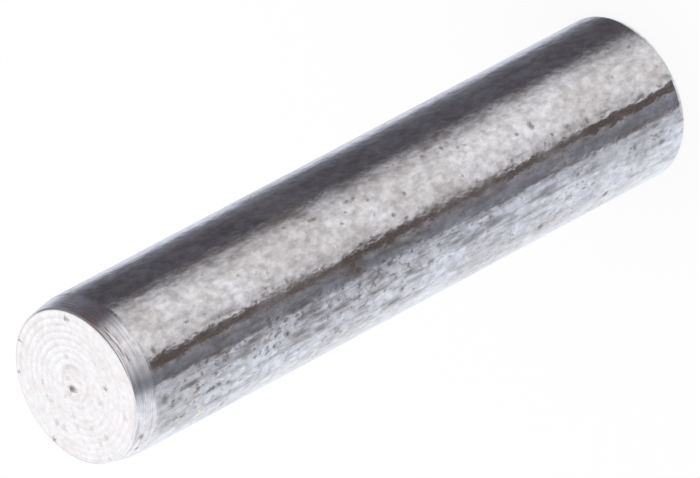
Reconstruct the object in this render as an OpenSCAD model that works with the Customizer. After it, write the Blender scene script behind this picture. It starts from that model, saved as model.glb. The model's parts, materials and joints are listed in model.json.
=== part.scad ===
// Dowel pin: one turned and ground steel cylinder with a tapered leading end and a plain square end.
// It stands on its plain end. Its axis is Z, and the origin is the centre of the plain end's face.

/* [Body] */
// Diameter of the ground cylinder
pin_d = 4; // [3:0.5:8]
// Length over both end faces, without the pip
pin_len = 18; // [8:1:40]

/* [Leading end] */
// Length of the taper along the axis
taper_len = 0.63; // [0.3:0.01:1.2]
// Angle of the taper to the axis, in degrees
taper_angle = 10; // [5:1:20]
// Radius of the rounded rim between the taper and the end face
rim_r = 0.06; // [0.02:0.01:0.2]

/* [Centre mark] */
// Diameter of the pip that was left where the bar was parted off
pip_d = 0.32; // [0.2:0.02:0.6]
// Height of the pip above the end face
pip_height = 0.05; // [0.02:0.01:0.1]
// Distance of the pip from the axis
pip_off = 0.22; // [0:0.01:0.3]
// Direction of the pip around the axis, in degrees from +X
pip_turn = 130; // [0:5:355]

/* [Plain end] */
// Length of the chamfer around the plain end, measured along the axis
edge_len = 0.12; // [0.05:0.01:0.3]
// Width of the same chamfer, measured across the end
edge_in = 0.056; // [0.02:0.002:0.2]

/* [Hidden] */
$fn = 96;

pin_r = pin_d / 2;

// The taper, drawn on to the end face, would meet it at this sharp corner.
corner_r = pin_r - taper_len * tan(taper_angle);

// The rim is an arc tangent to the end face and to the taper. These place its centre.
rim_turn = 90 - taper_angle;
rim_centre_r = corner_r - rim_r * tan(rim_turn / 2);
rim_centre_z = pin_len - rim_r;
rim_steps = 5;

// The pip is a cap of the ball that passes through its edge and its top.
pip_ball_r = (pow(pip_d / 2, 2) + pow(pip_height, 2)) / (2 * pip_height);
pip_ball_z = pin_len + pip_height - pip_ball_r;

// Points of the rim's arc, from the end face round to the taper
function rim_arc() = [
    for (i = [0 : rim_steps])
        let (a = 90 - i * rim_turn / rim_steps)
        [rim_centre_r + rim_r * cos(a), rim_centre_z + rim_r * sin(a)]
];

// Half section of the pin, to be turned about its axis
module half_section() {
    polygon(concat(
        [[0, 0], [0, pin_len]],
        rim_arc(),
        [
            [pin_r, pin_len - taper_len],
            [pin_r, edge_len],
            [pin_r - edge_in, 0]
        ]
    ));
}

// Most of the ball lies inside the pin, and only its cap stands out of the end face.
module pip_ball() {
    rotate([0, 0, pip_turn])
        translate([pip_off, 0, pip_ball_z])
            sphere(r = pip_ball_r);
}

module dowel_pin() {
    color("silver")
        union() {
            rotate_extrude() half_section();
            pip_ball();
        }
}

dowel_pin();
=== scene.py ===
# %% [markdown]
# # A ground steel dowel pin
#
# A dowel pin is a short steel cylinder that is pushed into reamed holes to hold two parts in line. It is
# parted off from bar, its leading end is faced and tapered on a lathe, and its side is ground. So there is
# only one piece to make here, and all of the interest is in how its surfaces were cut and how they reflect.
#
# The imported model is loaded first. It is the fixed frame: metres, +Z up, the pin standing on its plain end.

# %% Load the frame
import json
import math

import bpy
import numpy as np
from mathutils import Matrix, Vector


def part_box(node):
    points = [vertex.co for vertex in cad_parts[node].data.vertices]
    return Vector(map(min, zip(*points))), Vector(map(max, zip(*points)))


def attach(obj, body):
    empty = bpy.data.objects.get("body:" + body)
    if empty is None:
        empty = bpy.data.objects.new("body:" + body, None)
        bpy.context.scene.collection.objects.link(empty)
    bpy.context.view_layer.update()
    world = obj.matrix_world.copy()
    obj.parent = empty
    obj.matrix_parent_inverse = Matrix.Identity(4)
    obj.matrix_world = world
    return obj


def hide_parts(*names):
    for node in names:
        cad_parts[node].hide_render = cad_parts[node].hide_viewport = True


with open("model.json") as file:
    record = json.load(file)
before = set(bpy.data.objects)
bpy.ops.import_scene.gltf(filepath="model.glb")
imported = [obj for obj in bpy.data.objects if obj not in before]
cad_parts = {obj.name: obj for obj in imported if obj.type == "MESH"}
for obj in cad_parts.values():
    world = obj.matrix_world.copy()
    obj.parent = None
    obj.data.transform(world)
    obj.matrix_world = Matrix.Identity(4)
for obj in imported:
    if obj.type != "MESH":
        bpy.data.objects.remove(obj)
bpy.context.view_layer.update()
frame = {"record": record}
low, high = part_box("dowel_pin")

MM = 0.001
PIP_HEIGHT = 0.05
shank = next(m for m in frame["record"]["mounts"] if m["name"] == "shank")
PIN_R = shank["dims"]["r_mm"]
# The box is measured over the pip that stands out of the leading face.
PIN_LEN = (high.z - low.z) / MM - PIP_HEIGHT
print(f"pin: {2 * PIN_R:.2f} mm across, {PIN_LEN:.2f} mm long")

# %% [markdown]
# ## The section of the pin
#
# A lathe cuts a shape by moving a tool along a line while the work turns, so the whole pin is one outline
# turned about its axis. A curve with a Screw modifier could give the same form, but the tool marks below need
# the angle and the place on the outline of every point, so the outline is an array.
#
# It is walked from the middle of the plain end, out to its small chamfer, up the side, along the taper, round
# the rim and back in to the middle of the leading face. Each corner gets a small arc, because a sharp edge on
# real steel is always a little round and catches a line of light. All lengths from here to the mesh are in
# millimetres. The rows are closest together where the tool left marks that have to be real dents.

# %% The leading end
TAPER_LEN = 0.63
TAPER_ANGLE = math.radians(10)
RIM_R = 0.06
SHOULDER_R = 0.6
QUARTER = math.pi / 2
ROWS = {"plain end": 8, "edge": 5, "side": 110, "shoulder": 6, "taper": 48, "rim": 8, "face": 112}


def straight(start, end, count):
    """Points on a line from start to end, both ends included."""
    t = np.linspace(0, 1, count)[:, None]
    return (1 - t) * np.array(start) + t * np.array(end)


def arc(centre, radius, start, end, count):
    """Points on a circle about centre, from one angle to another, in radians from the radial direction."""
    a = np.linspace(start, end, count)[:, None]
    return np.array(centre) + radius * np.hstack([np.cos(a), np.sin(a)])


# The taper, drawn on to the face, would meet it at corner_r. The rim's arc touches both of them.
corner_r = PIN_R - TAPER_LEN * math.tan(TAPER_ANGLE)
rim_centre_r = corner_r - RIM_R * math.tan((QUARTER - TAPER_ANGLE) / 2)
rim_arc = arc((rim_centre_r, PIN_LEN - RIM_R), RIM_R, TAPER_ANGLE, QUARTER, ROWS["rim"])
# The shoulder's wide arc joins the taper to the side.
shoulder_z = PIN_LEN - TAPER_LEN - SHOULDER_R * math.tan(TAPER_ANGLE / 2)
shoulder_arc = arc((PIN_R - SHOULDER_R, shoulder_z), SHOULDER_R, 0, TAPER_ANGLE, ROWS["shoulder"])
print(f"leading end: taper from {PIN_R:.2f} to {corner_r:.3f} mm")

# %% The plain end
EDGE_LEN = 0.12
EDGE_IN = 0.056
EDGE_SHARP_R = 0.02
EDGE_SOFT_R = 0.1

# The chamfer faces outwards and a little down. A sharp arc joins it to the end, and a soft one to the side.
edge_down = math.atan2(EDGE_IN, EDGE_LEN)
sharp_r = PIN_R - EDGE_IN - EDGE_SHARP_R * math.tan((QUARTER - edge_down) / 2)
sharp_arc = arc((sharp_r, EDGE_SHARP_R), EDGE_SHARP_R, -QUARTER, -edge_down, ROWS["edge"])
soft_z = EDGE_LEN + EDGE_SOFT_R * math.tan(edge_down / 2)
soft_arc = arc((PIN_R - EDGE_SOFT_R, soft_z), EDGE_SOFT_R, -edge_down, 0, ROWS["edge"])
chamfer = straight(sharp_arc[-1], soft_arc[0], ROWS["edge"])
print(f"plain end: chamfer {EDGE_LEN} mm long and {EDGE_IN} mm wide")

# %% The whole outline
# The rows stop just short of the axis. One vertex at each end closes the middle later.
MIDDLE_R = 0.012
stretches = {
    "plain end": straight((MIDDLE_R, 0), sharp_arc[0], ROWS["plain end"]),
    "edge": np.vstack([sharp_arc, chamfer[1:-1], soft_arc]),
    "side": straight(soft_arc[-1], shoulder_arc[0], ROWS["side"]),
    "shoulder": shoulder_arc,
    "taper": straight(shoulder_arc[-1], rim_arc[0], ROWS["taper"]),
    "rim": rim_arc,
    "face": straight(rim_arc[-1], (MIDDLE_R, PIN_LEN), ROWS["face"]),
}
# Each stretch begins where the last one ended, so that shared point is dropped.
outline = np.vstack([p if name == "plain end" else p[1:] for name, p in stretches.items()])
row_stretch = np.concatenate([[name] * (len(p) - (name != "plain end")) for name, p in stretches.items()])
print(f"outline: {len(outline)} rows")

# %% [markdown]
# ## What the tools left in the surface
#
# Facing leaves a fine spiral, one scallop for each turn of the spindle, as the round nose of the tool feeds
# inwards. It is deepest on one side, where the work sprang away from the tool. The taper has the same
# scallops, closer together. Near the axis the tool had hardly any cutting speed: it left a low disc with a
# shallow trough around it, and at the disc's edge the pip where the bar broke off. The side was ground, which
# leaves a barely uneven surface that makes reflections wander.
#
# A bump in the material could draw all of these. As real heights they also stay in the mesh itself, and
# they bend reflections and outlines as they should. Each is a height field over the grid: angle around the
# pin, and row along the outline. The heights are a few thousandths of a millimetre, but on polished metal a
# slope of one degree is plain to see.

# %% The grid
SIDES = 288
angle = np.linspace(0, 2 * math.pi, SIDES, endpoint=False)
radius = outline[:, 0][:, None]
height = outline[:, 1][:, None]
all_angle = np.broadcast_to(angle, (len(outline), SIDES))
all_height = np.broadcast_to(height, all_angle.shape)
on = {name: (row_stretch == name)[:, None] for name in stretches}
print(f"grid: {len(outline)} rows of {SIDES} points")

# %% Spiral tool marks
FACE_FEED = 0.165
FACE_DEPTH = 0.0027
FACE_DEPTH_LEAST = 0.0013
TAPER_FEED = 0.11
TAPER_DEPTH = 0.0015
# Distances from the axis between which the marks set in, and between which they grow deeper on one side
MARKS_FROM, MARKS_FULL = 0.1, 0.35
SPRUNG_FROM, SPRUNG_FULL = 0.2, 1.3
RIM_CLEAR = 0.06


def fade(x, start, end):
    """0 before start, 1 after end, and a smooth step between them."""
    t = np.clip((x - start) / (end - start), 0, 1)
    return t * t * (3 - 2 * t)


def scallops(turns):
    """Round-nosed tool marks: a parabola that is 0 at each whole turn, a ridge, and -1 half-way between."""
    part = turns % 1.0
    return -4 * part * (1 - part)


def facing(r, a):
    """A spiral of scallops: one turn further in for each feed, and for each turn around the axis. They are
    deepest towards +X, and fade out at the rim and at the middle, where the tool had no room to cut."""
    sprung = (0.5 + 0.5 * np.cos(a)) * fade(r, SPRUNG_FROM, SPRUNG_FULL)
    depth = FACE_DEPTH_LEAST + (FACE_DEPTH - FACE_DEPTH_LEAST) * sprung
    marks = scallops(r / FACE_FEED - a / (2 * math.pi))
    outermost = fade(r, rim_centre_r - RIM_CLEAR, rim_centre_r)
    return depth * marks * fade(r, MARKS_FROM, MARKS_FULL) * (1 - outermost)


def tapering(z, a):
    """The same spiral along the taper, told by height."""
    return TAPER_DEPTH * scallops((z - PIN_LEN) / TAPER_FEED + a / (2 * math.pi))


face_marks = facing(radius, all_angle)
taper_marks = tapering(all_height, all_angle)
print(f"tool marks: up to {-face_marks.min() * 1000:.1f} thousandths of a millimetre deep on the face")

# %% The middle of the leading face
PIP_SKIRT_R = 0.24
PIP_OFF = 0.22
PIP_TURN = math.radians(130)
DISC_AT = (0.14, -0.03)
DISC_R = 0.4
DISC_HEIGHT = 0.007
DISC_SLOPE = 0.15
TROUGH_DEPTH = 0.003
# The trough runs out between these distances from the disc's edge.
TROUGH_FROM, TROUGH_END = 0.02, 0.16


def disc(r, a):
    """A low plateau with a soft edge, a little off the axis, and a shallow trough around it."""
    away = np.hypot(r * np.cos(a) - DISC_AT[0], r * np.sin(a) - DISC_AT[1])
    outside = fade(away, DISC_R - DISC_SLOPE, DISC_R)
    far_out = fade(away, DISC_R + TROUGH_FROM, DISC_R + TROUGH_END)
    return DISC_HEIGHT * (1 - outside) - TROUGH_DEPTH * outside * (1 - far_out)


def pip(r, a):
    """A round nub that runs out softly into the face: the square of a parabola that is 0 at its skirt."""
    x = r * np.cos(a) - PIP_OFF * math.cos(PIP_TURN)
    y = r * np.sin(a) - PIP_OFF * math.sin(PIP_TURN)
    inside = np.maximum(1 - (x ** 2 + y ** 2) / PIP_SKIRT_R ** 2, 0)
    return PIP_HEIGHT * inside ** 2


middle = disc(radius, all_angle) + pip(radius, all_angle)
print(f"middle of the face: up to {middle.max() * 1000:.1f} thousandths of a millimetre high")

# %% The ground side, and all heights together
WANDER_DEPTH = 0.0006
WANDER_WAVES = 24
# Each wave goes round the pin this many whole times, from the first number to just below the second.
WANDER_AROUND = (3, 16)
# Along the pin it turns by up to this many radians in a millimetre, either way.
WANDER_ALONG = 2.2
WANDER_SEED = 7
rng = np.random.default_rng(WANDER_SEED)


def wander(z, a):
    """A sum of shallow cosine waves that run around and along the pin at random, from a fixed seed."""
    around = rng.integers(*WANDER_AROUND, WANDER_WAVES)
    along = rng.uniform(-WANDER_ALONG, WANDER_ALONG, WANDER_WAVES)
    start = rng.uniform(0, 2 * math.pi, WANDER_WAVES)
    phase = around * a[..., None] + along * z[..., None] + start
    return WANDER_DEPTH * np.cos(phase).mean(-1) * math.sqrt(WANDER_WAVES)


relief = np.where(on["face"], face_marks + middle, 0.0)
relief = relief + np.where(on["taper"], taper_marks, 0.0)
relief = relief + np.where(on["side"], wander(all_height, all_angle), 0.0)
print(f"relief: {relief.min() * 1000:.1f} to {relief.max() * 1000:.1f} thousandths of a millimetre")

# %% [markdown]
# ## Turning the outline into a mesh
#
# The outline is carried round the axis on a grid, and each point is pushed along the outline's own normal by
# its height. The grid closes on itself, so there is no seam, and one vertex at each end closes the middle
# with a fan of triangles. Doing it with whole arrays keeps the formula readable and is quick.

# %% The turned surface
tangent = np.gradient(outline, axis=0)
tangent /= np.linalg.norm(tangent, axis=1)[:, None]
normal = np.stack([tangent[:, 1], -tangent[:, 0]], 1)

turned_r = radius + relief * normal[:, :1]
turned_z = height + relief * normal[:, 1:]
grid = np.stack([turned_r * np.cos(angle), turned_r * np.sin(angle), turned_z], -1)
points = np.vstack([grid.reshape(-1, 3), [[0, 0, 0], [0, 0, turned_z[-1].mean()]]]) * MM

rows = len(outline)
index = np.arange(rows * SIDES).reshape(rows, SIDES)
beside = np.roll(index, -1, axis=1)
quads = np.stack([index[:-1], beside[:-1], beside[1:], index[1:]], -1).reshape(-1, 4)
under_pole, over_pole = rows * SIDES, rows * SIDES + 1
under_fan = np.stack([np.full(SIDES, under_pole), beside[0], index[0]], -1)
over_fan = np.stack([np.full(SIDES, over_pole), index[-1], beside[-1]], -1)

mesh = bpy.data.meshes.new("dowel_pin_turned")
mesh.from_pydata(points.tolist(), [], quads.tolist() + under_fan.tolist() + over_fan.tolist())
mesh.validate()
mesh.shade_smooth()
pin = bpy.data.objects.new("dowel_pin_turned", mesh)
bpy.context.scene.collection.objects.link(pin)
print(f"turned pin: {len(mesh.vertices)} vertices, {2 * len(quads) + 2 * SIDES} triangles")

# %% [markdown]
# ## Helpers for the finishes
#
# Colours are read off the photograph as the sRGB values that a screen shows, and Blender's shaders work with
# linear light, so one function turns the first into the second. A second one adds a node, sets it up and
# links it, so that each finish below reads as a list of what it is made of.

# %% Colour and node helpers
# Sockets of the colour Mix node, which share their names with its other kinds
MIX, FIRST, SECOND, MIXED = 0, 6, 7, 2


def linear(hex_colour):
    """An sRGB colour such as "#C8C5C2" as linear red, green, blue and an alpha of 1."""
    s = np.array([int(hex_colour[i:i + 2], 16) for i in (1, 3, 5)]) / 255
    return (*np.where(s <= 0.04045, s / 12.92, ((s + 0.055) / 1.055) ** 2.4), 1.0)


def add(tree, kind, inputs=None, **settings):
    """Adds one node. settings are its properties; inputs gives each socket a value or a link to follow."""
    made = tree.nodes.new(kind)
    for name, value in settings.items():
        setattr(made, name, value)
    for name, value in (inputs or {}).items():
        if isinstance(value, bpy.types.NodeSocket):
            tree.links.new(value, made.inputs[name])
        else:
            made.inputs[name].default_value = value
    return made


def ramp(tree, value, stops):
    """A colour ramp through a list of values, lowest first, and the colours that belong to them."""
    first, last = stops[0][0], stops[-1][0]
    share = add(tree, "ShaderNodeMapRange", {"Value": value, "From Min": first, "From Max": last}).outputs[0]
    made = add(tree, "ShaderNodeValToRGB", {"Fac": share})
    made.color_ramp.elements[0].color = linear(stops[0][1])
    made.color_ramp.elements[-1].color = linear(stops[-1][1])
    for at, colour in stops[1:-1]:
        made.color_ramp.elements.new((at - first) / (last - first)).color = linear(colour)
    return made.outputs["Color"]


# %% [markdown]
# ## What all three finishes share
#
# The pin is one metal with three kinds of surface: the ground side, the turned taper and the faced ends. Each
# is a metal whose colour is a little clouded, with dirt lying on it here and there. Dirt isn't metal: it is
# dull, and keeps its own dark colour whatever is reflected around it. So a finish is made of five things: the
# metal's colour, masks that say where dirt covers it, the colour of the dirt, a roughness and a shallow bump.
#
# The stains that stand out in the photograph are placed one by one, as soft ellipses. A few of the ellipses
# paint shade and reflection in place of stains, and are marked where they are listed. Their coordinates are
# pushed about by noise first, so that their edges are ragged. All patterns are laid in millimetres on the
# object's own coordinates.

# %% Parts of a finish
MICRON = 1e-6
NOISE_MIDDLE = 0.5
# A stain is whole up to this share of its half size, and gone at the second.
STAIN_WHOLE, STAIN_GONE = 0.5, 1.5
DIRT_ROUGHNESS = 0.7


def new_finish(name):
    """A new material on the pin: its node tree, and the object's coordinates in millimetres."""
    material = bpy.data.materials.new(name)
    material.use_nodes = True
    material.node_tree.nodes.clear()
    mesh.materials.append(material)
    place = add(material.node_tree, "ShaderNodeTexCoord").outputs["Object"]
    scaled = add(material.node_tree, "ShaderNodeMapping", {"Vector": place, "Scale": (1 / MM,) * 3})
    return material.node_tree, scaled.outputs["Vector"]


def ragged(tree, in_mm, size_mm, push_mm):
    """Coordinates pushed about by up to push_mm either way, in blobs of about size_mm."""
    blobs = add(tree, "ShaderNodeTexNoise", {"Vector": in_mm, "Scale": 1 / size_mm, "Detail": 2.0})
    swing = add(tree, "ShaderNodeVectorMath", {
        0: blobs.outputs["Color"], 1: (NOISE_MIDDLE,) * 3}, operation="SUBTRACT").outputs["Vector"]
    return add(tree, "ShaderNodeVectorMath", {
        0: swing, 1: (2 * push_mm,) * 3, 2: in_mm}, operation="MULTIPLY_ADD").outputs["Vector"]


def stains(tree, where, places, strength):
    """A mask that has this strength on each of the places and is 0 elsewhere. A place is a point, and the
    stain's half size across and along the pin's axis."""
    covered = 0.0
    for point, across, along in places:
        shrink = (1 / across, 1 / across, 1 / along)
        shift = [-p * s for p, s in zip(point, shrink)]
        off = add(tree, "ShaderNodeMapping", {"Vector": where, "Location": shift, "Scale": shrink})
        reach = add(tree, "ShaderNodeVectorMath", {0: off.outputs["Vector"]}, operation="LENGTH")
        spot = add(tree, "ShaderNodeMapRange", {
            "Value": reach.outputs["Value"], "From Min": STAIN_GONE, "From Max": STAIN_WHOLE,
            "To Max": strength}).outputs[0]
        covered = add(tree, "ShaderNodeMath", {0: covered, 1: spot}, operation="MAXIMUM").outputs[0]
    return covered


def dress(tree, metal, dirt, masks, rough, relief, relief_um):
    """The shader: metal where it is bare, and dull dirt under the strongest of the masks, over a relief so
    many microns high."""
    cover = 0.0
    for mask in masks:
        cover = add(tree, "ShaderNodeMath", {0: cover, 1: mask}, operation="MAXIMUM").outputs[0]
    bumps = add(tree, "ShaderNodeBump", {
        "Height": relief, "Strength": 1.0, "Distance": relief_um * MICRON}).outputs["Normal"]
    bare = add(tree, "ShaderNodeBsdfPrincipled", {
        "Base Color": metal, "Metallic": 1.0, "Roughness": rough, "Normal": bumps}).outputs["BSDF"]
    dull = add(tree, "ShaderNodeBsdfPrincipled", {
        "Base Color": dirt, "Metallic": 0.0, "Roughness": DIRT_ROUGHNESS}).outputs["BSDF"]
    both = add(tree, "ShaderNodeMixShader", {0: cover, 1: bare, 2: dull}).outputs[0]
    add(tree, "ShaderNodeOutputMaterial", {"Surface": both})


# %% [markdown]
# ## The ground side
#
# A grinding wheel leaves fine, even scratches that the eye doesn't part at this size. What it sees is bright
# metal with a thin uneven haze in blotches of about a fifth of a millimetre, and a slight waviness that makes
# the edges of reflections jagged. Larger patches are a little browner, where the bare steel has begun to
# tarnish, or duller, where the wheel had gone blunt.
#
# A painted picture could show all this, but noise needs no unwrapping and stays sharp from close by. Each
# noise is drawn at the size of the real blotches or patches.

# %% Ground steel
GROUND_DARK, GROUND_LIGHT = "#BBBABC", "#E2E1E3"
TARNISHED = "#ECE9E6"
CLOUD_MM = 0.18
TINT_MM = 1.2
PATCH_MM = 2.0
# The wheel ran around the pin but was fed along it, so blotches are a little longer along the axis.
DRAWN_OUT = 1.45
# Noise runs from 0 to 1 and is mostly near the middle. Each effect sets in between two of its values.
SHADE_FROM, SHADE_TO = 0.35, 0.64
TARNISH_FROM, TARNISH_TO = 0.4, 0.64
HAZE_FROM, HAZE_TO = 0.3, 0.7
BLUNT_FROM, BLUNT_TO = 0.46, 0.66
# Roughness of the dark and of the light blotches, and what a blunt wheel adds to it
GROUND_DULL, GROUND_CLEAR = 0.15, 0.09
BLUNT_ROUGHNESS = 0.12

tree, in_mm = new_finish("ground_steel")
drawn = add(tree, "ShaderNodeMapping", {"Vector": in_mm, "Scale": (1, 1, 1 / DRAWN_OUT)}).outputs["Vector"]
clouds = add(tree, "ShaderNodeTexNoise", {
    "Vector": drawn, "Scale": 1 / CLOUD_MM, "Detail": 4.0, "Roughness": 0.6}).outputs["Fac"]
shade = add(tree, "ShaderNodeMapRange", {
    "Value": clouds, "From Min": SHADE_FROM, "From Max": SHADE_TO}).outputs[0]
metal = add(tree, "ShaderNodeMix", {
    MIX: shade, FIRST: linear(GROUND_DARK), SECOND: linear(GROUND_LIGHT)}, data_type="RGBA").outputs[MIXED]

tints = add(tree, "ShaderNodeTexNoise", {
    "Vector": drawn, "Scale": 1 / TINT_MM, "Detail": 3.0}).outputs["Fac"]
tarnish = add(tree, "ShaderNodeMapRange", {
    "Value": tints, "From Min": TARNISH_FROM, "From Max": TARNISH_TO}).outputs[0]
metal = add(tree, "ShaderNodeMix", {
    MIX: tarnish, FIRST: metal, SECOND: linear(TARNISHED)},
    data_type="RGBA", blend_type="MULTIPLY").outputs[MIXED]

patches = add(tree, "ShaderNodeTexNoise", {
    "Vector": in_mm, "Scale": 1 / PATCH_MM, "Detail": 2.0}).outputs["Fac"]
haze = add(tree, "ShaderNodeMapRange", {
    "Value": clouds, "From Min": HAZE_FROM, "From Max": HAZE_TO,
    "To Min": GROUND_DULL, "To Max": GROUND_CLEAR}).outputs[0]
blunt = add(tree, "ShaderNodeMapRange", {
    "Value": patches, "From Min": BLUNT_FROM, "From Max": BLUNT_TO, "To Max": BLUNT_ROUGHNESS}).outputs[0]
haze = add(tree, "ShaderNodeMath", {0: haze, 1: blunt}, operation="ADD").outputs[0]
print(f"ground steel: bare metal of {len(tree.nodes)} nodes")

# %% Waviness of the ground steel
WAVE_MM = 0.15
SWELL_MM = 0.7
# The wide swell is so many times as high as the short waves.
SWELL_SHARE = 2.4
GROUND_RELIEF_UM = 6.4

waves = add(tree, "ShaderNodeTexNoise", {
    "Vector": drawn, "Scale": 1 / WAVE_MM, "Detail": 1.5, "Roughness": 0.45}).outputs["Fac"]
swell = add(tree, "ShaderNodeTexNoise", {
    "Vector": drawn, "Scale": 1 / SWELL_MM, "Detail": 1.0}).outputs["Fac"]
uneven = add(tree, "ShaderNodeMath", {
    0: swell, 1: SWELL_SHARE, 2: waves}, operation="MULTIPLY_ADD").outputs[0]
print(f"waviness: waves of {WAVE_MM} mm on a swell of {SWELL_MM} mm")

# %% [markdown]
# ## Dirt on the ground side
#
# One side of the pin, which lay against something, carries a band of grime, rubbed into thin smears along the
# axis. Flecks of dirt sit in the pores, more of them in some patches and in the grime. The darkest stains lie
# across the dark bands that the side reflects. Dark marks laid along those bands are painted reflection: they
# darken the reflected bands in places and break up their edges.
#
# Two ramps say how dirty the side is, across the pin and along it. Flecks are the highest parts of a fine
# noise, smears those of a noise that is drawn out along the axis. Only the stains are placed one by one.

# %% How dirty the side is
# By the distance from the axis towards +X: white where there is most dirt. The small rise at -0.22 mm is
# painted reflection: more flecks and smears along the +X edge of the reflected brown band, to make it ragged.
DIRT_ACROSS = [
    (-2.0, "#000000"), (-1.86, "#303030"), (-1.75, "#B8B8B8"), (-1.5, "#BCBCBC"), (-1.2, "#ECECEC"),
    (-0.9, "#FFFFFF"), (-0.75, "#D4D4D4"), (-0.35, "#CCCCCC"), (-0.22, "#E8E8E8"), (0.0, "#808080"),
    (0.8, "#707070"), (0.95, "#A0A0A0"), (1.2, "#DCDCDC"), (1.4, "#000000"), (2.0, "#000000"),
]
# By height, from the plain end up to the taper
DIRT_ALONG = [
    (0, "#DCDCDC"), (3, "#C8C8C8"), (9, "#FFFFFF"), (17, "#FFFFFF"), (17.25, "#606060"), (18, "#000000"),
]

place = add(tree, "ShaderNodeSeparateXYZ", {0: in_mm}).outputs
dirty = add(tree, "ShaderNodeMath", {
    0: ramp(tree, place["X"], DIRT_ACROSS), 1: ramp(tree, place["Z"], DIRT_ALONG)},
    operation="MULTIPLY").outputs[0]
print(f"dirt: {len(DIRT_ACROSS)} stops across the pin and {len(DIRT_ALONG)} along it")

# %% Flecks and smears
FLECK_MM = 0.14
FLECK_FROM, FLECK_TO = 0.84, 1.0
FLECK_STRENGTH = 0.75
# What the patches and the dirt add to the noise of the pores
PATCH_WEIGHT = 0.35
DIRTY_WEIGHT = 0.15
GRIME_ACROSS_MM = 0.17
GRIME_ALONG_MM = 1.0
GRIME_FROM, GRIME_TO = 0.47, 0.67
GRIME_STRENGTH = 0.9

pores = add(tree, "ShaderNodeTexNoise", {
    "Vector": drawn, "Scale": 1 / FLECK_MM, "Detail": 3.0, "Roughness": 0.55}).outputs["Fac"]
often = add(tree, "ShaderNodeMath", {
    0: patches, 1: PATCH_WEIGHT, 2: pores}, operation="MULTIPLY_ADD").outputs[0]
often = add(tree, "ShaderNodeMath", {
    0: dirty, 1: DIRTY_WEIGHT, 2: often}, operation="MULTIPLY_ADD").outputs[0]
flecks = add(tree, "ShaderNodeMapRange", {
    "Value": often, "From Min": FLECK_FROM, "From Max": FLECK_TO, "To Max": FLECK_STRENGTH}).outputs[0]

rubbed = add(tree, "ShaderNodeMapping", {
    "Vector": in_mm,
    "Scale": (1 / GRIME_ACROSS_MM, 1 / GRIME_ACROSS_MM, 1 / GRIME_ALONG_MM)}).outputs["Vector"]
smears = add(tree, "ShaderNodeTexNoise", {
    "Vector": rubbed, "Scale": 1.0, "Detail": 4.0, "Roughness": 0.58}).outputs["Fac"]
smears = add(tree, "ShaderNodeMapRange", {
    "Value": smears, "From Min": GRIME_FROM, "From Max": GRIME_TO, "To Max": GRIME_STRENGTH}).outputs[0]
grime = add(tree, "ShaderNodeMath", {0: dirty, 1: smears}, operation="MULTIPLY").outputs[0]
print(f"flecks of about {FLECK_MM} mm, smears of about {GRIME_ALONG_MM} mm")

# %% Stains on the side, and painted lines along its reflected bands
# Degrees round from the side that faces the camera towards +X, height, and half size across and along
# Most are stains. The long thin ones at -24 to -25.5 degrees are painted reflection: a dark line along one
# edge of the grey band that the side reflects.
SIDE_STAINS_AND_BAND_LINES = [
    (24, 11.2, 0.05, 0.14), (24, 10.1, 0.05, 0.08), (12, 10.6, 0.05, 0.05), (1, 9.2, 0.05, 0.06),
    (3, 15.9, 0.04, 0.08), (27, 7.5, 0.06, 0.07), (31, 7.2, 0.06, 0.16), (26, 6.9, 0.05, 0.06),
    (10, 8.6, 0.06, 0.06), (11, 4.4, 0.11, 0.07), (10, 4.9, 0.05, 0.05), (27, 0.6, 0.06, 0.07),
    (-1, 3.5, 0.05, 0.09), (-1, 4.0, 0.04, 0.05), (-4, 4.3, 0.05, 0.06), (-4, 2.3, 0.03, 0.2),
    (-6, 1.1, 0.06, 0.08), (-3, 17.1, 0.09, 0.06), (-4, 12.8, 0.07, 0.05), (-4, 2.9, 0.07, 0.06),
    (-37, 17.15, 0.11, 0.1), (-35, 14.6, 0.08, 0.35), (-34, 13.9, 0.07, 0.07), (-42, 12.8, 0.08, 0.35),
    (-46, 12.1, 0.09, 0.25), (-34, 11.8, 0.08, 0.07), (-32, 10.1, 0.1, 0.12), (-50, 15.1, 0.06, 0.07),
    (-50, 9.4, 0.08, 0.08), (-58, 9.6, 0.09, 0.25), (-40, 8.5, 0.07, 0.12), (-31, 6.5, 0.07, 0.08),
    (-34, 3.6, 0.05, 0.05), (-36, 1.7, 0.09, 0.06), (-43, 0.8, 0.07, 0.1), (-62, 4.7, 0.1, 0.1),
    (-65, 2.5, 0.09, 0.07), (-25, 3.6, 0.04, 0.3), (-13, 11.0, 0.14, 0.2), (-17, 10.9, 0.14, 0.16),
    (-24.5, 1.7, 0.05, 0.9), (-24, 4.5, 0.04, 0.8), (-25.5, 0.7, 0.04, 0.4), (-36, 16.6, 0.05, 0.06),
    (-45, 16.9, 0.06, 0.06), (-4, 5.4, 0.05, 0.06), (-5, 6.6, 0.05, 0.07), (-4, 8.9, 0.04, 0.06),
    (-5, 13.6, 0.05, 0.08), (-4, 15.0, 0.04, 0.06), (-21, 10.8, 0.14, 0.18), (-32, 15.2, 0.06, 0.1),
    (-30, 12.6, 0.06, 0.1), (-38, 11.0, 0.06, 0.1), (-30, 8.8, 0.06, 0.1), (-27, 13.2, 0.05, 0.1),
]
# The darkest ones: one stain that crosses the side's dark lines, as the first three spots, and a few marks
# along them, which are painted reflection that darkens the reflected brown line in places
DARK_STAINS_AND_REFLECTION = [
    (-10, 11.0, 0.1, 0.15), (-15, 10.85, 0.11, 0.12), (-20, 10.75, 0.09, 0.12), (-9, 9.6, 0.05, 0.12),
    (-10, 16.9, 0.06, 0.15), (-9.5, 15.6, 0.05, 0.2), (-10, 2.4, 0.05, 0.2), (-10.5, 1.0, 0.05, 0.15),
    (-10, 8.2, 0.04, 0.1), (-11, 6.0, 0.05, 0.1), (-12.5, 16.7, 0.07, 0.6), (-12.5, 15.4, 0.05, 0.5),
]
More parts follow.
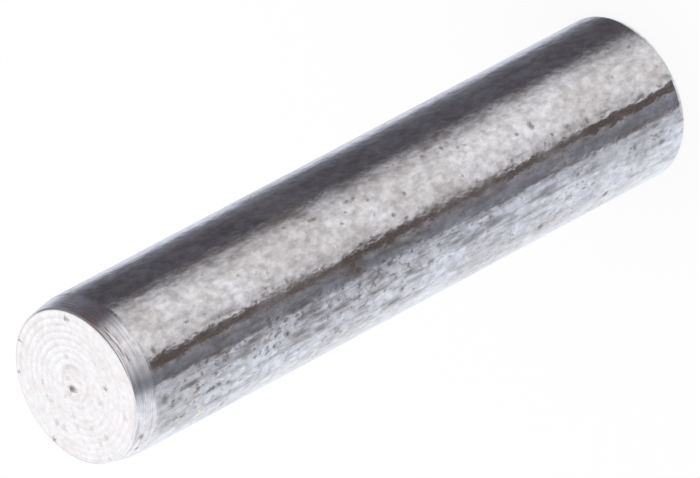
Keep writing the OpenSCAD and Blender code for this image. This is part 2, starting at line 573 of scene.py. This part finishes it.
# One speck is pale yellow, perhaps a grain of pollen or paint.
YELLOW_SPECKS = [(-64, 15.9, 0.06, 0.08)]
SIDE_STRENGTH = 0.63
DARK_STRENGTH = 0.92
SIDE_DIRT_AND_REFLECTION = "#463B36"
PALE_YELLOW = "#F0E3A0"
SIDE_BLOB_MM = 0.06
SIDE_PUSH_MM = 0.06


def on_side(places):
    """The same stains with a point of the side in place of each angle and height."""
    turned = [(math.radians(degrees), *rest) for degrees, *rest in places]
    return [((PIN_R * math.sin(a), -PIN_R * math.cos(a), z), *sizes) for a, z, *sizes in turned]


edges = ragged(tree, in_mm, SIDE_BLOB_MM, SIDE_PUSH_MM)
single = stains(tree, edges, on_side(SIDE_STAINS_AND_BAND_LINES), SIDE_STRENGTH)
darkest_and_painted_reflection = stains(tree, edges, on_side(DARK_STAINS_AND_REFLECTION), DARK_STRENGTH)
yellow = stains(tree, edges, on_side(YELLOW_SPECKS), 1.0)
dirt = add(tree, "ShaderNodeMix", {
    MIX: yellow, FIRST: linear(SIDE_DIRT_AND_REFLECTION), SECOND: linear(PALE_YELLOW)}, data_type="RGBA").outputs[MIXED]
dress(tree, metal, dirt, [flecks, grime, single, darkest_and_painted_reflection, yellow], haze, uneven, GROUND_RELIEF_UM)
print(f"ground steel: {len(tree.nodes)} nodes, {len(SIDE_STAINS_AND_BAND_LINES) + len(DARK_STAINS_AND_REFLECTION)} stains placed")

# %% [markdown]
# ## The turned taper
#
# The taper was cut with a single tool and not ground, so its marks run around the pin: light and dark lines a
# few hundredths of a millimetre apart, finer than the spiral in the mesh. Noise that is squeezed along the
# axis and hardly changes around it gives these. Dirt sits in the lines, so its smears are drawn out around
# the pin too.

# %% Turned steel
TURNED_DARK, TURNED_LIGHT = "#B7B5B7", "#E9E7E8"
TURNED_DIRT = "#6A4A3C"
LINE_MM = 0.045
LINE_AROUND_MM = 1.4
# How much of the clouds is mixed into the lines
CLOUD_SHARE = 0.4
LINE_FROM, LINE_TO = 0.32, 0.64
TURNED_DULL, TURNED_CLEAR = 0.22, 0.14
TURNED_RELIEF_UM = 0.8

tree, in_mm = new_finish("turned_steel")
squeezed = add(tree, "ShaderNodeMapping", {
    "Vector": in_mm, "Scale": (1 / LINE_AROUND_MM, 1 / LINE_AROUND_MM, 1 / LINE_MM)}).outputs["Vector"]
lines = add(tree, "ShaderNodeTexNoise", {
    "Vector": squeezed, "Scale": 1.0, "Detail": 2.0, "Roughness": 0.6}).outputs["Fac"]
clouds = add(tree, "ShaderNodeTexNoise", {
    "Vector": in_mm, "Scale": 1 / CLOUD_MM, "Detail": 4.0}).outputs["Fac"]
both = add(tree, "ShaderNodeMix", {0: CLOUD_SHARE, 2: lines, 3: clouds}, data_type="FLOAT").outputs[0]
shade = add(tree, "ShaderNodeMapRange", {
    "Value": both, "From Min": LINE_FROM, "From Max": LINE_TO}).outputs[0]
metal = add(tree, "ShaderNodeMix", {
    MIX: shade, FIRST: linear(TURNED_DARK), SECOND: linear(TURNED_LIGHT)}, data_type="RGBA").outputs[MIXED]
haze = add(tree, "ShaderNodeMapRange", {
    "Value": both, "From Min": HAZE_FROM, "From Max": HAZE_TO,
    "To Min": TURNED_DULL, "To Max": TURNED_CLEAR}).outputs[0]
print(f"turned steel: bare metal of {len(tree.nodes)} nodes")

# %% Dirt on the taper
SMEAR_MM = 0.05
SMEAR_AROUND_MM = 0.3
SMEAR_FROM, SMEAR_TO = 0.62, 0.78
SMEAR_STRENGTH = 0.6
# Points on the taper, and half size across and along
TAPER_STAINS = [
    ((0.62, -1.76, 17.88), 0.24, 0.024), ((0.28, -1.85, 17.85), 0.2, 0.022),
    ((0.5, -1.81, 17.77), 0.14, 0.02), ((0.02, -1.88, 17.8), 0.14, 0.02),
    ((-1.66, -0.92, 17.73), 0.08, 0.07), ((-1.82, -0.5, 17.68), 0.08, 0.05),
    ((1.64, -0.95, 17.87), 0.16, 0.03), ((1.4, -1.28, 17.82), 0.14, 0.025),
    ((1.08, -1.56, 17.89), 0.2, 0.03), ((0.8, -1.72, 17.8), 0.12, 0.02), ((1.2, -1.5, 17.6), 0.1, 0.02),
]
TAPER_STRENGTH = 0.75
TAPER_BLOB_MM = 0.12
TAPER_PUSH_MM = 0.025

long_way = add(tree, "ShaderNodeMapping", {
    "Vector": in_mm, "Scale": (1 / SMEAR_AROUND_MM, 1 / SMEAR_AROUND_MM, 1 / SMEAR_MM)}).outputs["Vector"]
smears = add(tree, "ShaderNodeTexNoise", {"Vector": long_way, "Scale": 1.0, "Detail": 2.0}).outputs["Fac"]
smears = add(tree, "ShaderNodeMapRange", {
    "Value": smears, "From Min": SMEAR_FROM, "From Max": SMEAR_TO, "To Max": SMEAR_STRENGTH}).outputs[0]
single = stains(tree, ragged(tree, in_mm, TAPER_BLOB_MM, TAPER_PUSH_MM), TAPER_STAINS, TAPER_STRENGTH)
dress(tree, metal, linear(TURNED_DIRT), [smears, single], haze, lines, TURNED_RELIEF_UM)
print(f"turned steel: {len(tree.nodes)} nodes, {len(TAPER_STAINS)} stains placed")

# %% [markdown]
# ## The faced ends
#
# The end faces are freshly cut and look straight at the brightest part of the tent, so they are almost white.
# Their colour is also set lighter than the ground steel's, which is painted brightness. Their rings and the
# pip are in the mesh. Here they only get a faint clouding, an uneven tan tint and flecks, and thin tan
# stains, which are placed one by one on the leading face, and a painted shade on the pip's +X side.

# %% Faced steel
# Lighter than the ground steel: painted brightness of the same steel, on top of the bright roof that the
# faces mirror
FACED_DARK, FACED_LIGHT = "#E6E4E7", "#F4F3F5"
FACED_TAN = "#FAF7F5"
FACE_CLOUD_MM = 0.15
FACE_TINT_MM = 0.5
TAN_FROM, TAN_TO = 0.45, 0.65
FACED_DULL, FACED_CLEAR = 0.22, 0.14
FACED_RELIEF_UM = 0.4

tree, in_mm = new_finish("faced_steel")
clouds = add(tree, "ShaderNodeTexNoise", {
    "Vector": in_mm, "Scale": 1 / FACE_CLOUD_MM, "Detail": 5.0, "Roughness": 0.62}).outputs["Fac"]
shade = add(tree, "ShaderNodeMapRange", {
    "Value": clouds, "From Min": HAZE_FROM, "From Max": HAZE_TO}).outputs[0]
metal = add(tree, "ShaderNodeMix", {
    MIX: shade, FIRST: linear(FACED_DARK), SECOND: linear(FACED_LIGHT)}, data_type="RGBA").outputs[MIXED]
haze = add(tree, "ShaderNodeMapRange", {
    "Value": clouds, "From Min": HAZE_FROM, "From Max": HAZE_TO,
    "To Min": FACED_DULL, "To Max": FACED_CLEAR}).outputs[0]
tints = add(tree, "ShaderNodeTexNoise", {
    "Vector": in_mm, "Scale": 1 / FACE_TINT_MM, "Detail": 3.0}).outputs["Fac"]
tan = add(tree, "ShaderNodeMapRange", {"Value": tints, "From Min": TAN_FROM, "From Max": TAN_TO}).outputs[0]
metal = add(tree, "ShaderNodeMix", {
    MIX: tan, FIRST: metal, SECOND: linear(FACED_TAN)},
    data_type="RGBA", blend_type="MULTIPLY").outputs[MIXED]
print(f"faced steel: bare metal of {len(tree.nodes)} nodes")

# %% Stains on the leading face
# Where each stain lies from the axis, towards +X and +Y, and its half size
CLEAR_STAINS_AND_PIP_SHADE = [
    (1.43, -0.88, 0.07), (-0.36, -0.93, 0.06), (-0.84, 1.6, 0.07), (0.88, 1.57, 0.05), (1.51, 1.02, 0.05),
    # The four below are painted shade: an arch on the pip's +X side, where it mirrors the dark part of the
    # roof.
    (-0.03, 0.11, 0.06), (-0.06, 0.18, 0.045), (-0.1, 0.25, 0.04), (-0.1, 0.05, 0.045),
]
FAINT_STAINS = [
    (0.22, -1.03, 0.06), (-1.35, -0.13, 0.07), (-1.4, 0.17, 0.06), (-0.56, 0.55, 0.07), (-0.03, 1.03, 0.07),
    (0.1, 1.09, 0.06), (-0.52, 1.21, 0.09), (-0.7, 1.07, 0.08), (1.4, -0.49, 0.05), (-1.17, -1.07, 0.08),
    (-1.0, 0.17, 0.06), (0.25, 0.12, 0.06), (-0.1, 0.52, 0.05), (-1.8, 0.12, 0.06), (-0.82, 0.6, 0.08),
    (0.7, -0.23, 0.07), (-0.6, -0.53, 0.07), (0.45, 0.97, 0.06),
]
CLEAR_STRENGTH = 0.6
FAINT_STRENGTH = 0.23
FACED_DIRT_AND_PIP_SHADE = "#75563F"
FACE_BLOB_MM = 0.06
FACE_PUSH_MM = 0.12
FACE_FLECK_MM = 0.09
FACE_FLECK_FROM, FACE_FLECK_TO = 0.6, 0.76
FACE_FLECK_STRENGTH = 0.18


def on_face(places):
    """The same stains as points of the leading face, as large along the axis as across it."""
    return [((x, y, PIN_LEN), size, size) for x, y, size in places]


edges = ragged(tree, in_mm, FACE_BLOB_MM, FACE_PUSH_MM)
clear = stains(tree, edges, on_face(CLEAR_STAINS_AND_PIP_SHADE), CLEAR_STRENGTH)
faint = stains(tree, edges, on_face(FAINT_STAINS), FAINT_STRENGTH)
pores = add(tree, "ShaderNodeTexNoise", {
    "Vector": in_mm, "Scale": 1 / FACE_FLECK_MM, "Detail": 2.0}).outputs["Fac"]
flecks = add(tree, "ShaderNodeMapRange", {
    "Value": pores, "From Min": FACE_FLECK_FROM, "From Max": FACE_FLECK_TO,
    "To Max": FACE_FLECK_STRENGTH}).outputs[0]
dress(tree, metal, linear(FACED_DIRT_AND_PIP_SHADE), [clear, faint, flecks], haze, clouds, FACED_RELIEF_UM)
print(f"faced steel: {len(tree.nodes)} nodes, {len(CLEAR_STAINS_AND_PIP_SHADE) + len(FAINT_STAINS)} stains placed")

# %% [markdown]
# ## Each finish in its place
#
# Every face of the mesh knows which stretch of the outline it came from, so it can be given that stretch's
# finish. The faces between two rows belong to the second row's stretch. The rim was cut together with the
# face, so it has the same finish.

# %% Finishes on the mesh
# The finishes are numbered in the order in which the mesh was given them.
GROUND, TURNED, FACED = range(3)
FINISH_OF = {
    "plain end": FACED, "edge": GROUND, "side": GROUND, "shoulder": GROUND,
    "taper": TURNED, "rim": FACED, "face": FACED,
}
quad_finish = np.repeat([FINISH_OF[name] for name in row_stretch[1:]], SIDES)
fan_finish = np.full(2 * SIDES, FACED)
mesh.polygons.foreach_set("material_index", np.concatenate([quad_finish, fan_finish]).astype(np.int32))
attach(pin, "root")
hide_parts("dowel_pin")
print("finishes:", [m.name for m in mesh.materials])

# %% [markdown]
# ## The camera
#
# The photograph looks at the leading end from far off through a long lens, so that the sides stay almost
# parallel. Four things give the camera: how far the axis leans away from the line of sight,
# which way it runs across the picture, where the middle of the face lies in it, and how large it is there.
# The pin stands upright in its own frame, so the camera looks down at it and is rolled on its side.

# %% Camera
PICTURE_W, PICTURE_H = 700, 478
SENSOR_MM = 36.0
AXIS_LEAN = math.radians(51.5)
AXIS_RISE = math.radians(28.0)
FACE_AT_PX = (74.6, 385.9)
PX_PER_MM = 44.5
DISTANCE_MM = 459.6
NEAREST_M, FARTHEST_M = 0.05, 10.0

elevation = QUARTER - AXIS_LEAN
forward = Vector((0, math.cos(elevation), -math.sin(elevation)))
level_right = Vector((1, 0, 0))
level_up = level_right.cross(forward)
# The pin's top points down to the left in the picture, so its own up direction is turned to lie that way.
cam_right = -math.sin(AXIS_RISE) * level_right - math.cos(AXIS_RISE) * level_up
cam_up = math.cos(AXIS_RISE) * level_right - math.sin(AXIS_RISE) * level_up

across_mm = (FACE_AT_PX[0] - (PICTURE_W - 1) / 2) / PX_PER_MM
down_mm = (FACE_AT_PX[1] - (PICTURE_H - 1) / 2) / PX_PER_MM
face_middle = Vector((0, 0, PIN_LEN))
eye = face_middle - across_mm * cam_right + down_mm * cam_up - DISTANCE_MM * forward

camera_data = bpy.data.cameras.new("camera")
camera_data.sensor_width = SENSOR_MM
camera_data.lens = PX_PER_MM * DISTANCE_MM * SENSOR_MM / PICTURE_W
camera_data.clip_start = NEAREST_M
camera_data.clip_end = FARTHEST_M
camera = bpy.data.objects.new("camera", camera_data)
turn = Matrix((cam_right, cam_up, -forward)).transposed().to_4x4()
camera.matrix_world = Matrix.Translation(eye * MM) @ turn
bpy.context.scene.collection.objects.link(camera)
bpy.context.scene.camera = camera
print(f"camera: {camera_data.lens:.0f} mm lens, {DISTANCE_MM:.0f} mm away,"
      f" {math.degrees(elevation):.1f} degrees up")

# %% [markdown]
# ## The floor
#
# The pin stands on white paper. Matt paper alone would come out grey around the pin, so most of what the
# camera sees of it is an even glow, and a small share is matt paper that keeps the pin's soft shadow. Metal
# looks through this floor, so that the whole tent is reflected.

# %% Floor
FLOOR_R_MM = 300
FLOOR_SIDES = 64
SHADOW_SHARE = 0.15
WHITE = "#FFFFFF"

floor_angle = np.linspace(0, 2 * math.pi, FLOOR_SIDES, endpoint=False)
floor_points = np.stack([np.cos(floor_angle), np.sin(floor_angle), 0 * floor_angle], -1) * FLOOR_R_MM * MM
floor_mesh = bpy.data.meshes.new("floor")
floor_mesh.from_pydata(floor_points.tolist(), [], [list(range(FLOOR_SIDES))])
floor = bpy.data.objects.new("floor", floor_mesh)
bpy.context.scene.collection.objects.link(floor)
floor.visible_glossy = False

paper = bpy.data.materials.new("white_paper")
paper.use_nodes = True
paper.node_tree.nodes.clear()
matt = add(paper.node_tree, "ShaderNodeBsdfDiffuse", {"Color": linear(WHITE)}).outputs["BSDF"]
glow = add(paper.node_tree, "ShaderNodeEmission", {"Color": linear(WHITE), "Strength": 1.0}).outputs[0]
both = add(paper.node_tree, "ShaderNodeMixShader", {0: SHADOW_SHARE, 1: glow, 2: matt}).outputs[0]
add(paper.node_tree, "ShaderNodeOutputMaterial", {"Surface": both})
floor_mesh.materials.append(paper)
print(f"floor: {2 * FLOOR_R_MM} mm across")

# %% [markdown]
# ## The walls of the light tent
#
# Polished metal has hardly any colour of its own: it shows the studio around it. The pin lay in a bright tent
# with a dark gap over it and a narrow dark gap beside the camera, and these are the bands along its side.
# Cards and lamps around the pin could give them too. A world shader that only reflections see is easier to
# match: each panel is a compass direction and one of a few tones of paper or of dark gaps.
#
# The side of the pin mirrors what lies low down around it, and the taper what lies level with its top, so the
# tent has two rings of panels. At the back, the level ring has a dark strip, which draws the fine line round
# the far side of the leading face.

# %% Walls
# The tones of the studio, chosen so that the pin's bands come out about as light as they should
BRIGHT_PAPER = "#F6F9FF"
COOL_PAPER = "#EBF0F9"
SHADED_PAPER = "#D3D7E1"
SKY_PAPER = "#D9DEEB"
WARM_PAPER = "#F4F3F5"
DIM_PAPER = "#D9D8DC"
GREY_GAP = "#84868E"
PALE_LINE = "#9A989C"
BROWN_GAP = "#5C5350"
DARK_GAP = "#5D5B62"
GAP_EDGE = "#7E7E88"
BACK_STRIP = "#807A78"
# Degrees round the pin, from the side that faces the camera (0) towards +X (90), and the tone there
LOW_PANELS = [
    (-180, SHADED_PAPER), (-165, COOL_PAPER), (-138, BRIGHT_PAPER), (-112, COOL_PAPER), (-84, COOL_PAPER),
    (-66, SHADED_PAPER), (-53, SHADED_PAPER), (-48, GREY_GAP), (-34, GREY_GAP), (-28, PALE_LINE),
    (-26, BROWN_GAP), (-16, BROWN_GAP), (-14, DIM_PAPER), (10, WARM_PAPER), (38, WARM_PAPER),
    (56, DIM_PAPER), (79, DARK_GAP), (115, DARK_GAP), (136, GAP_EDGE), (151, SKY_PAPER),
    (180, SHADED_PAPER),
]
LEVEL_PANELS = [
    (-180, BACK_STRIP), (-166, BACK_STRIP), (-157, WHITE), (-74, BRIGHT_PAPER), (-52, SHADED_PAPER),
    (-45, GREY_GAP), (-34, GREY_GAP), (-3, DIM_PAPER), (20, WARM_PAPER), (40, DIM_PAPER),
    (60, DARK_GAP), (80, DARK_GAP), (125, GAP_EDGE), (151, SHADED_PAPER), (170, SHADED_PAPER),
    (180, BACK_STRIP),
]
# A direction's Z runs from -1, straight down, to 1, straight up. The rings meet between these two.
LEVEL_Z, LOW_Z = -0.47, -0.58

world = bpy.data.worlds.new("light_tent")
bpy.context.scene.world = world
world.use_nodes = True
world.cycles.sampling_method = "NONE"
sky = world.node_tree
sky.nodes.clear()

direction = add(sky, "ShaderNodeTexCoord").outputs["Generated"]
way = add(sky, "ShaderNodeSeparateXYZ", {0: direction}).outputs
towards = add(sky, "ShaderNodeMath", {0: way["Y"], 1: -1.0}, operation="MULTIPLY").outputs[0]
compass = add(sky, "ShaderNodeMath", {0: way["X"], 1: towards}, operation="ARCTAN2").outputs[0]
degrees = add(sky, "ShaderNodeMath", {0: compass, 1: math.degrees(1)}, operation="MULTIPLY").outputs[0]
deep = add(sky, "ShaderNodeMapRange", {
    "Value": way["Z"], "From Min": LEVEL_Z, "From Max": LOW_Z}).outputs[0]
walls = add(sky, "ShaderNodeMix", {
    MIX: deep, FIRST: ramp(sky, degrees, LEVEL_PANELS), SECOND: ramp(sky, degrees, LOW_PANELS)},
    data_type="RGBA").outputs[MIXED]
print(f"walls: {len(LOW_PANELS)} low panels, {len(LEVEL_PANELS)} level ones")

# %% [markdown]
# ## The roof, the bench and the camera's own reflection
#
# The leading face and the pip mirror the roof, which is bright but darker towards +X. Its eaves at the back
# are white, so that the pip isn't darkened by the strip below them. Straight down lies the bench, whose paper
# is swept up behind the pin. The camera is a dark shape that only the rounded rim can see.

# %% Roof, bench and camera
# The roof from -X to +X
ROOF_PANELS = [(-1.0, "#EBEAEA"), (-0.3, "#F0EFF0"), (-0.04, "#FFFFFF"), (0.45, "#7C7A7C"), (1.0, "#7C7A7C")]
EAVES = "#F0EFF0"
BENCH = "#E8E7EA"
CAMERA_DARK = "#58565A"
CAMERA_HALF_DEG = 20
# The camera's edge is soft by this share of its half width, either way.
CAMERA_SOFT = 0.3
# Each part sets in between two values of the direction's Z, or of its Y, which grows towards the back.
BENCH_FROM_Z, BENCH_FULL_Z = -0.95, -0.99
SWEEP_FROM_Z, SWEEP_FULL_Z = -0.78, -0.85
SWEEP_FROM_Y, SWEEP_FULL_Y = -0.05, 0.08
EAVES_FROM_Z, EAVES_FULL_Z = 0.5, 0.34
EAVES_FROM_Y, EAVES_FULL_Y = 0.74, 0.86
ROOF_FROM_Z, ROOF_FULL_Z = -0.1, 0.12

straight_down = add(sky, "ShaderNodeMapRange", {
    "Value": way["Z"], "From Min": BENCH_FROM_Z, "From Max": BENCH_FULL_Z}).outputs[0]
low_down = add(sky, "ShaderNodeMapRange", {
    "Value": way["Z"], "From Min": SWEEP_FROM_Z, "From Max": SWEEP_FULL_Z}).outputs[0]
behind = add(sky, "ShaderNodeMapRange", {
    "Value": way["Y"], "From Min": SWEEP_FROM_Y, "From Max": SWEEP_FULL_Y}).outputs[0]
sweep = add(sky, "ShaderNodeMath", {0: low_down, 1: behind}, operation="MULTIPLY").outputs[0]
bench = add(sky, "ShaderNodeMath", {0: straight_down, 1: sweep}, operation="MAXIMUM").outputs[0]
walls = add(sky, "ShaderNodeMix", {
    MIX: bench, FIRST: walls, SECOND: linear(BENCH)}, data_type="RGBA").outputs[MIXED]

low_roof = add(sky, "ShaderNodeMapRange", {
    "Value": way["Z"], "From Min": EAVES_FROM_Z, "From Max": EAVES_FULL_Z}).outputs[0]
at_back = add(sky, "ShaderNodeMapRange", {
    "Value": way["Y"], "From Min": EAVES_FROM_Y, "From Max": EAVES_FULL_Y}).outputs[0]
eaves = add(sky, "ShaderNodeMath", {0: low_roof, 1: at_back}, operation="MULTIPLY").outputs[0]
roof = add(sky, "ShaderNodeMix", {
    MIX: eaves, FIRST: ramp(sky, way["X"], ROOF_PANELS), SECOND: linear(EAVES)},
    data_type="RGBA").outputs[MIXED]
above = add(sky, "ShaderNodeMapRange", {
    "Value": way["Z"], "From Min": ROOF_FROM_Z, "From Max": ROOF_FULL_Z},
    interpolation_type="SMOOTHSTEP").outputs[0]
tent = add(sky, "ShaderNodeMix", {MIX: above, FIRST: walls, SECOND: roof}, data_type="RGBA").outputs[MIXED]

aside = add(sky, "ShaderNodeVectorMath", {0: direction, 1: -forward}, operation="DOT_PRODUCT")
in_camera = add(sky, "ShaderNodeMapRange", {
    "Value": aside.outputs["Value"],
    "From Min": math.cos(math.radians((1 + CAMERA_SOFT) * CAMERA_HALF_DEG)),
    "From Max": math.cos(math.radians((1 - CAMERA_SOFT) * CAMERA_HALF_DEG))}).outputs[0]
tent = add(sky, "ShaderNodeMix", {
    MIX: in_camera, FIRST: tent, SECOND: linear(CAMERA_DARK)}, data_type="RGBA").outputs[MIXED]
print(f"tent: {len(sky.nodes)} nodes")

# %% [markdown]
# ## Who sees the tent
#
# Only rays that bounce off metal look into the tent. To the camera and to the paper, the surround is plain
# white, which lights the scene softly from everywhere and leaves the background clean.

# %% Surround
TENT_LEVEL = 1.2
plain = add(sky, "ShaderNodeBackground", {"Color": linear(WHITE), "Strength": 1.0}).outputs[0]
seen_in_metal = add(sky, "ShaderNodeBackground", {"Color": tent, "Strength": TENT_LEVEL}).outputs[0]
glossy = add(sky, "ShaderNodeLightPath").outputs["Is Glossy Ray"]
surround = add(sky, "ShaderNodeMixShader", {0: glossy, 1: plain, 2: seen_in_metal}).outputs[0]
add(sky, "ShaderNodeOutputWorld", {"Surface": surround})
bpy.context.scene.view_settings.view_transform = "Standard"
print(f"surround: white, and a tent of {TENT_LEVEL} times its panels in reflections")
